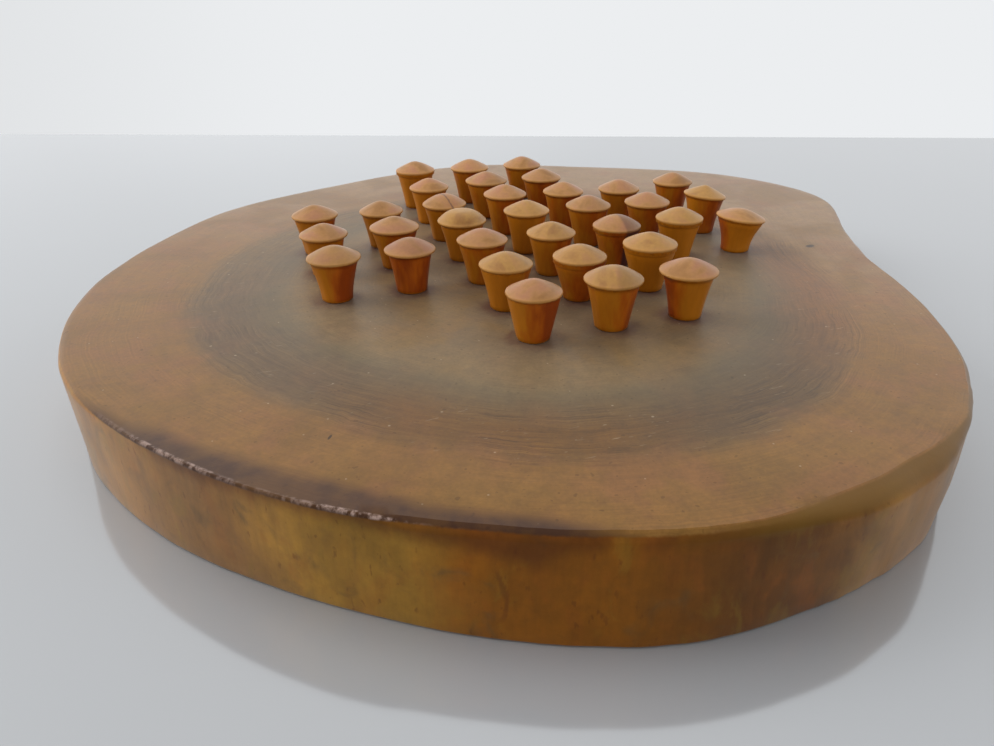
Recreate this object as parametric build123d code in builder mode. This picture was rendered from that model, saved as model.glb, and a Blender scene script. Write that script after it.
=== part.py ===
from build123d import *

import math
import os

# Peg solitaire board: a slice of a log with 33 blind holes, and a turned wooden peg in each hole.
# Millimetres. The origin is on the underside, below the centre hole. +Z is up, and +Y points to the
# back row, so that the arms of the cross of holes run along X and Y.

os.makedirs("parts", exist_ok=True)

# Slab
slab_thickness = 27.0
top_edge_radius = 2.0
bottom_edge_radius = 1.2

# The slab's wall seen from above: a closed smooth curve through these points, clockwise from the left.
# Nothing about it is regular, because it follows the bark line of the log. The hollow on the right is
# where the trunk folded inwards. Each row is x and y of the upper line, and how far the wall stands
# out from it at the underside, or in where the number is negative.
wall_points = [
    (-150.8, 4.0, -0.8),
    (-143.0, 32.2, 0.0),
    (-125.6, 64.3, 0.0),
    (-103.4, 93.4, 0.0),
    (-60.3, 118.1, 0.0),
    (-13.7, 135.6, 0.0),
    (27.2, 137.8, 0.0),
    (64.2, 120.7, 0.0),
    (99.0, 101.6, 0.0),
    (124.4, 83.4, 0.0),
    (144.0, 53.2, 0.0),
    (148.4, 26.4, 0.0),
    (131.9, -7.6, 0.0),
    (115.8, -36.5, 0.0),
    (104.5, -77.3, -1.3),
    (87.1, -111.9, -2.6),
    (68.1, -137.2, -3.6),
    (43.7, -157.3, -4.6),
    (3.0, -166.0, -1.6),
    (-19.8, -163.9, 1.7),
    (-40.5, -158.5, 2.2),
    (-90.0, -133.0, -0.8),
    (-127.0, -94.0, 0.0),
    (-148.5, -51.0, -1.2),
]

# How far apart the outermost of those points are, across and from front to back. A change here stretches
# the whole outline.
slab_width = 299.2
slab_depth = 303.8

# Holes: a square grid with the four corners left out
hole_pitch = 24.0
hole_rows = 7
arm_rows = 3
hole_mouth_bevel = 0.3

# Peg, from the end of its tenon to the tip of its head
tenon_diameter = 5.5
tenon_length = 10.0
tenon_end_bevel = 0.5
tenon_play = 0.08
hole_bottom_play = 1.0
foot_diameter = 9.6
foot_bevel = 0.5
shank_hollow = 0.3
rim_diameter = 17.0
rim_height = 14.0
rim_overhang = 0.7
rim_flare_height = 1.0
rim_edge_radius = 0.6
head_cone_height = 3.5

# The pegs are turned by hand, so some heads are wider or narrower than the usual one, and some pegs
# are taller or shorter. Each is named by its column, a to g from the left, and row, 1 to 7 from the back.
rim_diameter_change = {
    "a4": -0.3,
    "a5": 0.4,
    "b3": -0.4,
    "b4": 0.6,
    "c2": -0.8,
    "c4": 0.7,
    "c5": 0.3,
    "c7": -0.4,
    "d2": 0.5,
    "d6": 0.4,
    "d7": 0.7,
    "e3": -0.6,
    "e6": 0.8,
    "e7": 0.8,
    "f4": 0.4,
    "g3": -0.6,
    "g4": -0.5,
    "g5": 0.9,
}
height_change = {
    "a5": -0.2,
    "b3": -0.8,
    "b5": -0.3,
    "c1": 1.6,
    "c3": -0.4,
    "c5": 0.2,
    "d1": 0.7,
    "d2": 0.7,
    "d3": 1.1,
    "d4": 1.1,
    "d6": -0.4,
    "d7": 0.8,
    "e4": 0.7,
    "e6": 1.0,
    "e7": 0.3,
    "f3": -1.1,
    "f4": -0.3,
    "f5": 0.3,
    "g3": -0.3,
    "g4": 0.2,
    "g5": -1.8,
}


def hole_places():
    """Name and centre of each hole, such as ("d4", 0, 0) for the centre one."""
    middle = (hole_rows - 1) // 2
    reach = (arm_rows - 1) // 2
    places = []
    for row in range(hole_rows):
        for column in range(hole_rows):
            across = column - middle
            back = middle - row
            if abs(across) > reach and abs(back) > reach:
                continue
            name = "abcdefghijk"[column] + str(row + 1)
            places.append((name, across * hole_pitch, back * hole_pitch))
    return places


def bark_line(z):
    """Points of the wall at a height, on the straight slope between underside and upper line."""
    xs = [x for x, y, standing_out in wall_points]
    ys = [y for x, y, standing_out in wall_points]
    wider = slab_width / (max(xs) - min(xs))
    deeper = slab_depth / (max(ys) - min(ys))
    from_top = 1 - z / slab_thickness
    points = []
    for x, y, standing_out in wall_points:
        stretch = 1 + standing_out * from_top / math.hypot(x, y)
        points.append((x * wider * stretch, y * deeper * stretch))
    return points


def make_slab(places):
    hole_radius = tenon_diameter / 2 + tenon_play
    hole_depth = tenon_length + hole_bottom_play
    with BuildPart() as slab:
        for z in (0, slab_thickness):
            with BuildSketch(Plane.XY.offset(z)):
                with BuildLine():
                    Spline(*bark_line(z), periodic=True)
                make_face()
        loft()
        fillet(slab.faces().sort_by(Axis.Z)[-1].edges(), radius=top_edge_radius)
        fillet(slab.faces().sort_by(Axis.Z)[0].edges(), radius=bottom_edge_radius)
        with Locations(*[(x, y, slab_thickness) for _, x, y in places]):
            Hole(radius=hole_radius, depth=hole_depth)
        mouths = slab.edges().filter_by(GeomType.CIRCLE).group_by(Axis.Z)[-1]
        chamfer(mouths, length=hole_mouth_bevel)
    slab.part.label = "board_slab"
    export_step(slab.part, "parts/board_slab.step")
    return slab.part


def make_peg(name, x, y):
    """One peg standing in its hole, its shoulder on the top of the slab."""
    rim_radius = (rim_diameter + rim_diameter_change.get(name, 0.0)) / 2
    rim_z = rim_height + height_change.get(name, 0.0)
    neck_radius = rim_radius - rim_overhang
    neck_z = rim_z - rim_flare_height
    foot_radius = foot_diameter / 2
    tenon_radius = tenon_diameter / 2
    shank_middle = ((foot_radius + neck_radius) / 2 - shank_hollow, (foot_bevel + neck_z) / 2)
    seat = Plane(origin=(x, y, slab_thickness), x_dir=(1, 0, 0), z_dir=(0, -1, 0))
    with BuildPart() as peg:
        with BuildSketch(seat) as profile:
            with BuildLine():
                tenon = Polyline(
                    (0, -tenon_length),
                    (tenon_radius - tenon_end_bevel, -tenon_length),
                    (tenon_radius, -tenon_length + tenon_end_bevel),
                    (tenon_radius, 0),
                    (foot_radius - foot_bevel, 0),
                    (foot_radius, foot_bevel),
                )
                shank = ThreePointArc(tenon @ 1, shank_middle, (neck_radius, neck_z))
                Polyline(shank @ 1, (rim_radius, rim_z), (0, rim_z + head_cone_height), (0, -tenon_length))
            make_face()
            rim = profile.vertices().sort_by(Axis.X)[-1]
            fillet(rim, radius=rim_edge_radius)
        revolve(axis=Axis((x, y, 0), (0, 0, 1)))
    peg.part.label = "peg_" + name
    export_step(peg.part, "parts/peg_" + name + ".step")
    return peg.part


places = hole_places()
slab_part = make_slab(places)
pegs = [make_peg(name, x, y) for name, x, y in places]

print("slab", slab_part.bounding_box().size, "pegs", len(pegs))
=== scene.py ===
import functools
import math
import random

import bmesh
import bpy
import numpy as np
from mathutils import Matrix, Vector, noise


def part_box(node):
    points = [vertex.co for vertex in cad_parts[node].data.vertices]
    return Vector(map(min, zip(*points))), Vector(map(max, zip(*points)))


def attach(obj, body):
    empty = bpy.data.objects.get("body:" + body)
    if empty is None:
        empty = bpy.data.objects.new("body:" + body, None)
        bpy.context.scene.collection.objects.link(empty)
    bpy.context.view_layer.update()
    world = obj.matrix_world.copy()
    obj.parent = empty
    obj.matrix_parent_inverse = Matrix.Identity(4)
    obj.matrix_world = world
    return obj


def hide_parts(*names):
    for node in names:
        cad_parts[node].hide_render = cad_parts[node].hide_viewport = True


# Wooden peg solitaire: a varnished slice of a log, and a turned peg in each of its 33 holes.
# Metres, in the frame of the CAD model. Sizes in the dictionaries are millimetres.

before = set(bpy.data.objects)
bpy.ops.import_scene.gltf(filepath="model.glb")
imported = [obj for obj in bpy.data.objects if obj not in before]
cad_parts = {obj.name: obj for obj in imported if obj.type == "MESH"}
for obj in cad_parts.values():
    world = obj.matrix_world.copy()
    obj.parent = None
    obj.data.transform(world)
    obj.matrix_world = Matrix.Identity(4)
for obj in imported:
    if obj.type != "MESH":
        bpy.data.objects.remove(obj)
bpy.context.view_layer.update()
mm = 0.001
touching = 1e-6   # points nearer than this are one


def hexColour(text):
    # "#RRGGBB" as a screen shows it -> the linear colour that a socket takes
    channels = [int(text[i:i + 2], 16) / 255 for i in (1, 3, 5)]
    return tuple(c / 12.92 if c <= 0.04045 else ((c + 0.055) / 1.055) ** 2.4 for c in channels) + (1.0,)


# Which setting of a node its mode is
modeSettings = {
    "Math": "operation", "VectorMath": "operation", "MapRange": "interpolation_type", "Mix": "data_type"}


def addNode(tree, kind, *inOrder, **named):
    # Adds one node. A second word in its kind is its mode, as in "Mix RGBA". The values in order, and the
    # names that start with a capital, are sockets, each set to a number, a colour, a node or an output. The
    # other names are settings
    kind, *mode = kind.split()
    node = tree.nodes.new("ShaderNode" + kind)
    if mode:
        setattr(node, modeSettings[kind], mode[0])
    sockets = dict(enumerate(inOrder))
    for name, value in named.items():
        if name[0].isupper():
            sockets[name] = value
        elif name != "stops":
            setattr(node, name, value)
    if "stops" in named:
        elements = node.color_ramp.elements
        while len(elements) < len(named["stops"]):
            elements.new(1.0)
        for element, (position, tone) in zip(elements, named["stops"]):
            element.position = position
            element.color = hexColour(tone) if isinstance(tone, str) else (tone, tone, tone, 1.0)
    for name, value in sockets.items():
        socket = node.inputs[name] if isinstance(name, int) else next(
            s for s in node.inputs if s.name == name and s.enabled)
        if isinstance(value, bpy.types.Node):
            value = next(s for s in value.outputs if s.enabled)
        if isinstance(value, bpy.types.NodeSocket):
            tree.links.new(value, socket)
        else:
            socket.default_value = hexColour(value) if isinstance(value, str) else value
    return node


def newMaterial(name):
    material = bpy.data.materials.new(name)
    material.use_nodes = True
    material.node_tree.nodes.clear()
    return material, functools.partial(addNode, material.node_tree)


def newPiece(name, bm, material, sharpAngle=35):
    # Turns a bmesh into an object at the origin, smooth except along its sharp edges
    mesh = bpy.data.meshes.new(name)
    bm.to_mesh(mesh)
    bm.free()
    mesh.materials.append(material)
    mesh.shade_smooth()
    mesh.set_sharp_from_angle(angle=math.radians(sharpAngle))
    piece = bpy.data.objects.new(name, mesh)
    bpy.context.scene.collection.objects.link(piece)
    return piece


def smoothStep(low, high, value):
    t = min(1.0, max(0.0, (value - low) / (high - low)))
    return t * t * (3 - 2 * t)


def window(angle, start, end, fade):
    # 1 between two angles in degrees, fading to 0 over fade degrees at each end
    middle = (start + end) / 2
    apart = abs((angle - middle + 180) % 360 - 180)
    return 1 - smoothStep((end - start) / 2, (end - start) / 2 + fade, apart)


# Camera: where the photograph was taken from
photoCamera = {
    "place": (-0.09714, -0.26535, 0.12238),
    "heading": 17.85,       # degrees from +Y towards +X
    "downTilt": 27.29,
    "roll": -0.606,
    "lens": 29.18,
    "sensorWidth": 36.0,
}

cameraData = bpy.data.cameras.new("photoCamera")
cameraData.sensor_fit = "HORIZONTAL"
cameraData.sensor_width = photoCamera["sensorWidth"]
cameraData.lens = photoCamera["lens"]
cameraData.clip_start = 0.01
camera = bpy.data.objects.new("photoCamera", cameraData)
bpy.context.scene.collection.objects.link(camera)
camera.matrix_world = (
    Matrix.Translation(photoCamera["place"])
    @ Matrix.Rotation(math.radians(-photoCamera["heading"]), 4, "Z")
    @ Matrix.Rotation(math.radians(90 - photoCamera["downTilt"]), 4, "X")
    @ Matrix.Rotation(math.radians(photoCamera["roll"]), 4, "Z")
)
bpy.context.scene.camera = camera
bpy.context.scene.view_settings.view_transform = "Standard"


# Studio: a glossy pale table that ends behind the board, and soft light from the back left
studio = {
    "tableSize": 6.0,
    "farLinePoint": (0.0995, 0.3389, 0.0),   # a point on the table's far edge
    "farLineTurn": -22.1,                    # degrees from +X
    "tableColour": "#A2A4A6",
    "tableRoughness": 0.10,
    "tableIor": 2.5,
    "wearPatches": 9.0,      # patches of wear in a metre of the table
    "backdropColour": "#ECEEF0",
    "backdropFade": 0.90,    # the backdrop's brightness at the far left, against that on the right
    "skyColour": "#F2F5FA",
    "skyStrength": 0.50,
    "wallGlow": 1.30,        # brightness that reflections see low down at the back
    "ceilingGlow": 1.06,     # and overhead
    "roomGlow": 0.08,        # and in front of the board
    "glowTurn": 8.0,         # where along the wall the glow is brightest, in degrees from +Y towards +X
    "lamps": {   # place, size and power in watts; each points at the board
        "windowLamp": ((-1.15, 0.68, 0.80), 1.1, 18.0),
        "ceilingLamp": ((-0.15, 0.40, 1.60), 1.3, 7.4),
        "fillLamp": ((1.20, -0.40, 0.60), 1.0, 3.9),
        "roomLamp": ((-0.35, -1.40, 0.55), 1.2, 5.0),
    },
}

bm = bmesh.new()
bmesh.ops.create_grid(bm, x_segments=1, y_segments=1, size=studio["tableSize"] / 2)
farTurn = math.radians(studio["farLineTurn"])
bmesh.ops.bisect_plane(
    bm, geom=bm.verts[:] + bm.edges[:] + bm.faces[:], plane_co=studio["farLinePoint"],
    plane_no=(-math.sin(farTurn), math.cos(farTurn), 0), clear_outer=True)
laminate, add = newMaterial("whiteLaminate")   # a hard, pale, glossy table top: it mirrors the board faintly
wear = add("TexNoise", Vector=add("TexCoord").outputs["Object"], Scale=studio["wearPatches"], Detail=4.0)
shader = add(
    "BsdfPrincipled",
    Roughness=add("MapRange", wear, 0, 1, studio["tableRoughness"] * 0.8, studio["tableRoughness"] * 1.2),
    IOR=studio["tableIor"], **{"Base Color": studio["tableColour"]})
add("OutputMaterial", Surface=shader)
table = newPiece("tableTop", bm, laminate)

world = bpy.data.worlds.new("studioWorld")
bpy.context.scene.world = world
world.use_nodes = True
world.node_tree.nodes.clear()
add = functools.partial(addNode, world.node_tree)
rays = add("LightPath")
mirrored = add("Math MAXIMUM", rays.outputs["Is Glossy Ray"], rays.outputs["Is Transmission Ray"])
heading, glowTurn = math.radians(photoCamera["heading"]), math.radians(studio["glowTurn"])
direction = add("TexCoord").outputs["Generated"]
towardsWall = add(
    "VectorMath DOT_PRODUCT", direction, (math.sin(heading), math.cos(heading), 0)).outputs["Value"]
nearGlow = add(
    "MapRange SMOOTHSTEP",
    add("VectorMath DOT_PRODUCT", direction, (math.sin(glowTurn), math.cos(glowTurn), 0)).outputs["Value"],
    0.93, 1.0, studio["wallGlow"] * 0.92, studio["wallGlow"] * 1.06)
# Reflections see the bright wall at the back, a dimmer ceiling, and a dark room in front
overhead = add(
    "MapRange SMOOTHSTEP", add("SeparateXYZ", direction).outputs["Z"], 0.25, 1.0, nearGlow,
    studio["ceilingGlow"])
roomGlow = add("MapRange SMOOTHSTEP", towardsWall, -0.5, 0.5, studio["roomGlow"], overhead)
sky = add(
    "MixShader", mirrored, add("Background", Color=studio["skyColour"], Strength=studio["skyStrength"]),
    add("Background", Color=studio["backdropColour"], Strength=roomGlow))
sky = add("MixShader", rays.outputs["Is Camera Ray"], sky, add(
    "Background", Color=studio["backdropColour"], Strength=add(
        "MapRange SMOOTHSTEP", add("SeparateXYZ", direction).outputs["X"], -0.3, 0.15,
        studio["backdropFade"], 1.0)))
add("OutputWorld", Surface=sky)

for name, (place, size, power) in studio["lamps"].items():
    lampData = bpy.data.lights.new(name, "AREA")
    lampData.size = size
    lampData.energy = power
    lamp = bpy.data.objects.new(name, lampData)
    bpy.context.scene.collection.objects.link(lamp)
    lamp.location = place
    lamp.rotation_euler = (-Vector(place)).to_track_quat("-Z", "Y").to_euler()
    lamp.visible_glossy = False   # gloss mirrors the room alone, so no lamp shows as a square
print("studio: camera, table and", len(studio["lamps"]), "lamps")


# Slab: the bark line comes from the CAD wall, and the finer shape is added here
slab = {
    "aroundSteps": 360,
    "ringsInward": 15,
    "wallRings": 7,
    "roundRings": 6,
    "bottomRings": 6,
    "bottomRound": 0.8,
    "topRoundInset": 2.0,        # the upper edge's rounding, as seen from above
    "topRoundDrop": 2.0,         # and as seen from the side
    "crispCut": 50,              # how many degrees of the rounding a crisp corner leaves out
    "crispFrom": 0.5,            # from here on the corner is shaded as an edge
    "rollOff": 0.125,            # the sander dipped this much at the rim of the top
    "rollOffWidth": 9.0,
    "rollOffRings": 3,
    "wallWaves": 0.30,           # bumps and hollows left by the bark
    "wallWaveLength": 17.0,
    "wallWaveHeight": 40.0,
    "fineWaves": 0.35,           # smaller ones on them, as a share of the large ones
    "fineWaveLength": 6.0,
    "fineWaveHeight": 9.0,
    "waveFade": 8.0,             # the waves end this far in from the wall
    "sharpAngle": 24,
    "holeDepth": 11.0,
    "holeRadius": 2.83,
    "mouthBevel": 0.3,
    "holePitch": 24.0,
    "drillSteps": 32,
    "pith": (-4.0, -22.0),       # the middle of the growth rings
    "meanRadius": 150.0,
    "followDepth": 75.0,         # the rings follow the bark line to this far in from it
    "bulgeHeight": 10.0,         # where the wall stands out most
    "bulgeAtFoot": 0.7,          # share of it that is left at the underside
    "bulgeFade": 16.0,           # height over which it changes into the top's
    "changeSpan": 6.0,           # degrees to each side over which the changes below are blended
    "wallFrom": 100.0,           # the CAD wall is further than this from the origin
    "wallLevels": (1.0, 13.0, 25.3),   # its lower line lies between the first two, its upper one above
    "readSteps": 720,
    "readBlend": 3,              # neighbours to each side that a reading is blended with
}
# How far the wall stands out from the CAD wall at the right, in mm: angle in degrees, at the top and at the
# bulge
wallChanges = [(-86, 0.0, 0.0), (-77, -0.7, 0.0), (-70, -1.6, 0.1), (-65, -1.1, 0.2), (-60, -0.2, 0.2),
               (-56, 0.3, 0.2), (-50, -1.1, 0.0), (-40, -2.0, -0.8), (-30, -1.1, -0.5), (-22, 0.2, 0.0),
               (-14, 1.9, 1.0), (-5, 0.0, 0.0)]
# Stretches of the upper edge that aren't rounded as the rest: start, end and fade in degrees, inset and drop,
# and how crisp the corner with the top stays, 0 for a full rounding
edgeStretches = {
    "scar": (-158, -122, 5, 0.5, 0.8, 0.4),
    "frontBevel": (-117, -94, 5, 1.9, 2.3, 1.0),
    "rightBevel": (-84, -79, 11, 5.6, 3.8, 1.0),
    "rightEnd": (-62, -25, 8, 1.7, 2.0, 0.9),
    "softLeft": (170, 200, 15, 3.0, 2.4, 0.0),
}


def readBarkLine(node):
    # Radius of the CAD wall round the origin in mm, by angle and height; the wall is straight from its lower
    # line to its upper one
    lines = []
    around = np.linspace(-math.pi, math.pi, slab["readSteps"], endpoint=False)
    blend = slab["readBlend"]
    for low, high in zip(slab["wallLevels"], slab["wallLevels"][1:]):
        wall = [v.co for v in node.data.vertices
                if v.co.xy.length > slab["wallFrom"] * mm and low * mm < v.co.z < high * mm]
        wall.sort(key=lambda co: math.atan2(co.y, co.x))
        angles = [math.atan2(co.y, co.x) for co in wall]
        radii = np.interp(around, angles, [co.xy.length / mm for co in wall], period=2 * math.pi)
        smooth = sum(np.roll(radii, step) for step in range(-blend, blend + 1)) / (2 * blend + 1)
        lines.append((sum(co.z for co in wall) / len(wall) / mm, smooth))
    (lowHeight, lowLine), (highHeight, highLine) = lines
    degrees, atTop, atBulge = zip(*wallChanges)

    def barkRadius(angle, height):
        low, high = (float(np.interp(angle, around, line, period=2 * math.pi))
                     for line in (lowLine, highLine))
        nearby = math.degrees(angle) + np.linspace(-slab["changeSpan"], slab["changeSpan"], 13)
        top, bulge = (float(np.interp(nearby, degrees, change).mean()) for change in (atTop, atBulge))
        bulge *= slab["bulgeAtFoot"] + (1 - slab["bulgeAtFoot"]) * smoothStep(0, slab["bulgeHeight"], height)
        upward = smoothStep(slab["bulgeHeight"], slab["bulgeHeight"] + slab["bulgeFade"], height)
        return (low + (high - low) * (height - lowHeight) / (highHeight - lowHeight)
                + bulge + (top - bulge) * upward)
    return barkRadius


def edgeShape(angle):
    # Inset, drop and crispness of the upper edge at an angle in degrees
    inset, drop, crisp = slab["topRoundInset"], slab["topRoundDrop"], 0.0
    for start, end, fade, insetThere, dropThere, crispThere in edgeStretches.values():
        amount = window(angle, start, end, fade)
        inset += (insetThere - inset) * amount
        drop += (dropThere - drop) * amount
        crisp += (crispThere - crisp) * amount
    return inset, drop, crisp


def upperEdge(angle, share):
    # How far in and down the edge's outline is at a share of its way from wall to top
    inset, drop, crisp = edgeShape(angle)
    reach = math.radians(90 - slab["crispCut"] * crisp)
    along = share * reach
    inward = inset * (1 - math.cos(along)) / (1 - math.cos(reach))
    return inward, drop * (1 - math.sin(along) / math.sin(reach))


def makeSlab(node, holes, material):
    barkRadius = readBarkLine(node)
    low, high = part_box("board_slab")
    thickness = (high.z - low.z) / mm

    # Each ring is a rule for inset and height at an angle; the next one is extruded from the last
    rings = [lambda a, f=f: (slab["bottomRound"] * (1 - math.sin(f)), slab["bottomRound"] * (1 - math.cos(f)))
             for f in np.linspace(0, math.pi / 2, slab["bottomRings"])]
    for step in range(1, slab["wallRings"]):
        rings.append(lambda a, s=step / slab["wallRings"]: (0, slab["bottomRound"] + s * (
            thickness - slab["bottomRound"] - upperEdge(a, 0)[1])))
    for step in range(slab["roundRings"] + 1):
        rings.append(lambda a, s=step / slab["roundRings"]: (
            upperEdge(a, s)[0], thickness - slab["rollOff"] - upperEdge(a, s)[1]))
    for step in range(1, slab["rollOffRings"] + 1):
        rings.append(lambda a, s=step / slab["rollOffRings"]: (
            upperEdge(a, 1)[0] + s * slab["rollOffWidth"], thickness - slab["rollOff"] * (1 - s) ** 2))

    bm = bmesh.new()
    bmesh.ops.create_circle(bm, cap_ends=True, segments=slab["aroundSteps"], radius=0.1)
    loop = bm.edges[:]
    for number, ring in enumerate(rings):
        if number:
            grown = bmesh.ops.extrude_edge_only(bm, edges=loop)["geom"]
            loop = [g for g in grown if isinstance(g, bmesh.types.BMEdge)]
        for vert in {v for edge in loop for v in edge.verts}:
            angle = math.atan2(vert.co.y, vert.co.x)
            inset, height = ring(math.degrees(angle))
            outward = Vector((math.cos(angle), math.sin(angle), 0))
            wave = noise.noise(outward * slab["meanRadius"] / slab["wallWaveLength"]
                               + Vector((0, 0, height / slab["wallWaveHeight"])))
            fine = noise.noise(outward * slab["meanRadius"] / slab["fineWaveLength"]
                               + Vector((5, 0, height / slab["fineWaveHeight"])))
            waves = slab["wallWaves"] * (1 - smoothStep(0, slab["waveFade"], inset))
            radius = barkRadius(angle, height) - inset + waves * (wave + slab["fineWaves"] * fine)
            vert.co = Vector((radius * math.cos(angle), radius * math.sin(angle), height)) * mm
    for step in range(1, slab["ringsInward"]):
        grown = bmesh.ops.extrude_edge_only(bm, edges=loop)["geom"]
        loop = [g for g in grown if isinstance(g, bmesh.types.BMEdge)]
        shrink = (slab["ringsInward"] - step) / (slab["ringsInward"] - step + 1)
        bmesh.ops.scale(bm, verts=list({v for edge in loop for v in edge.verts}), vec=(shrink, shrink, 1))
    bmesh.ops.contextual_create(bm, geom=loop)
    bmesh.ops.recalc_face_normals(bm, faces=bm.faces[:])
    piece = newPiece("boardSlab", bm, material)

    # All hole cutters are one mesh, spun from the profile of a drill
    cutters = bmesh.new()
    for x, y in holes:
        drill = [(0, -slab["holeDepth"]), (slab["holeRadius"], -slab["holeDepth"]),
                 (slab["holeRadius"], -slab["mouthBevel"]), (slab["holeRadius"] + slab["mouthBevel"], 0),
                 (slab["holeRadius"] + slab["mouthBevel"], 1), (0, 1)]
        verts = [cutters.verts.new((x + r * mm, y, high.z + z * mm)) for r, z in drill]
        edges = [cutters.edges.new(pair) for pair in zip(verts, verts[1:])]
        bmesh.ops.spin(cutters, geom=verts + edges, cent=(x, y, 0), axis=(0, 0, 1),
                       angle=2 * math.pi, steps=slab["drillSteps"], use_merge=True)
    bmesh.ops.remove_doubles(cutters, verts=cutters.verts[:], dist=touching)
    bmesh.ops.recalc_face_normals(cutters, faces=cutters.faces[:])
    drills = newPiece("drills", cutters, material)
    cut = piece.modifiers.new("holes", "BOOLEAN")
    cut.object = drills
    cut.operation = "DIFFERENCE"
    cut.solver = "EXACT"
    view = bpy.context.evaluated_depsgraph_get()
    mesh = bpy.data.meshes.new_from_object(piece.evaluated_get(view))
    piece.modifiers.clear()
    piece.data = mesh
    bpy.data.objects.remove(drills)
    mesh.name = "boardSlab"
    mesh.shade_smooth()
    mesh.set_sharp_from_angle(angle=math.radians(slab["sharpAngle"]))
    # The corner between a bevel and the top stays crisp
    cornerHeight = high.z - slab["rollOff"] * mm
    for line in mesh.edges:
        ends = [mesh.vertices[number].co for number in line.vertices]
        onCorner = max(abs(co.z - cornerHeight) for co in ends) < touching
        crisp = edgeShape(math.degrees(math.atan2(ends[0].y, ends[0].x)))[2]
        if onCorner and crisp > slab["crispFrom"]:
            line.use_edge_sharp = True

    # How far each point lies in from the bark line, and its place in the growth of the tree
    inset = mesh.attributes.new("inset", "FLOAT", "POINT")
    growth = mesh.attributes.new("growth", "FLOAT", "POINT")
    for number, vert in enumerate(mesh.vertices):
        angle = math.atan2(vert.co.y, vert.co.x)
        fromBark = barkRadius(angle, thickness) - vert.co.xy.length / mm
        fromPith = (vert.co.xy / mm - Vector(slab["pith"])).length
        follow = 1 - smoothStep(0, slab["followDepth"], fromBark)
        inset.data[number].value = fromBark
        growth.data[number].value = fromPith + (slab["meanRadius"] - fromBark - fromPith) * follow
    return piece


# Log slice: cross-cut fruitwood under satin varnish. The eye sees an olive-tan heart, a paler ring, a
# grey-green band and a dark band round it that is grey at the left, purplish at the front left and pink at
# the right, tan sapwood, a dark scar of bark at the front left, and a golden to red-brown wall with upright
# grain
sliceWood = {
    "heart": "#6B573B", "heartWarm": "#735729", "palerRing": "#705B3C", "greyBand": "#5D5038",
    # the pale grey sapwood colour for the back and the right is a painted sheen
    "sap": "#785428", "sapSheen": "#826647", "sapDark": "#6A4A1F", "sapPink": "#7B4F32", "sapOlive": "#735620",
    "bandLeft": "#57432B", "bandFrontLeft": "#5F401A", "bandFront": "#513C22", "bandRight": "#704B28",
    "bandBack": "#675132",
    # the pale pinkish grey on the scar's edge is painted glints
    "scar": "#38231C", "paintedGlint": "#B89E92", "edge": "#654715", "topBand": "#552A0A",
    # the dark brown round the pegs' feet is grime with painted shade
    "knot": "#25160A", "dust": "#B5A48A", "grimeAndShade": "#4C270C",
    "wallTan": "#98671F", "wallPink": "#875E2C", "wallOlive": "#966D24", "wallOrange": "#7F4B08",
    "wallBrown": "#5E370A", "wallGold": "#8C6128", "wallGrey": "#5A4426", "wallRust": "#8A4812",
    "wallMoss": "#7E6420",
    "roughness": 0.46,
    # Sizes of the patterns in mm
    "slowWaveSize": 55, "quickWaveSize": 13, "patchSize": 28, "hueSize": 17, "wanderSize": 9,
    "ringSpacing": 2.6, "streakWidth": 1.1, "poreSpacing": 1.7, "rayLength": 12.0, "mottleSize": 3.2,
    "ringPatchSize": 22, "gritSize": 0.8, "pitSize": 1.6, "scratchSize": 0.9, "speckSpacing": 6.5,
    "grainWidth": 1.6, "blotchSize": 15, "wallHueSize": 8.5, "greyPatchSize": 10, "fleckSize": 1.5,
    "paintedGlintSize": 1.5,
    "zoneSpan": 1.25,            # the zones' ramps run to this share of the heart's radius
    "armEdge": (35, 34),         # the grime and painted shade end here on both sides of an arm of the cross
    "crossEdge": (84, 82),       # and here at its ends
    "grimeAndShadeFade": (12.6, 7.4),   # and at this distance from a hole
    "crackTurn": 0.1895,         # where the crack is, as a share of a turn
    "crackRound": 1018.0,        # length of a turn along the wall there
}
# Where the heart ends, in mm from the pith, by share of a turn round it: 0 left, 0.25 front, 0.5 right
heartBorder = [(0.0, 112), (0.083, 109), (0.167, 111), (0.25, 115), (0.30, 111), (0.36, 102), (0.43, 96),
               (0.55, 98), (0.75, 106), (0.90, 110), (1.0, 112)]
# How far the scar reaches in from the edge, and how far the dark band under it reaches down, in mm, by share
# of a turn round the origin; reachMost is the end of their scale
reachMost = 10
scarReach = [(0.062, 0), (0.076, 2.2), (0.094, 4.4), (0.104, 6.8), (0.122, 8.2), (0.141, 9.0), (0.150, 9.9),
             (0.158, 9.4), (0.171, 7.6), (0.182, 6.6), (0.20, 5.8), (0.218, 0)]
bandReach = [(0.10, 0), (0.118, 2.6), (0.138, 1.2), (0.165, 3.0), (0.187, 4.2), (0.195, 7.5), (0.203, 3.4),
             (0.213, 1.2), (0.245, 0.6), (0.256, 0)]
# Tones along the wall, by share of a turn
wallTones = [(0.04, "wallTan"), (0.083, "wallTan"), (0.108, "wallPink"), (0.132, "wallPink"),
             (0.153, "wallOlive"), (0.170, "wallOlive"), (0.187, "wallOrange"), (0.21, "wallOrange"),
             (0.235, "wallBrown"), (0.252, "wallBrown"), (0.272, "wallGold"), (0.42, "wallTan"),
             (0.55, "wallOrange"), (0.66, "wallOlive"), (0.80, "wallBrown"), (0.90, "wallOlive"),
             (1.0, "wallTan")]
# Place, half length and half width in mm, and direction in degrees
knotPlaces = {"knot": ((99.9, -30.4), 2.1, 1.3, 20), "nick": ((-85.7, -106.9), 1.2, 0.35, 60)}


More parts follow.
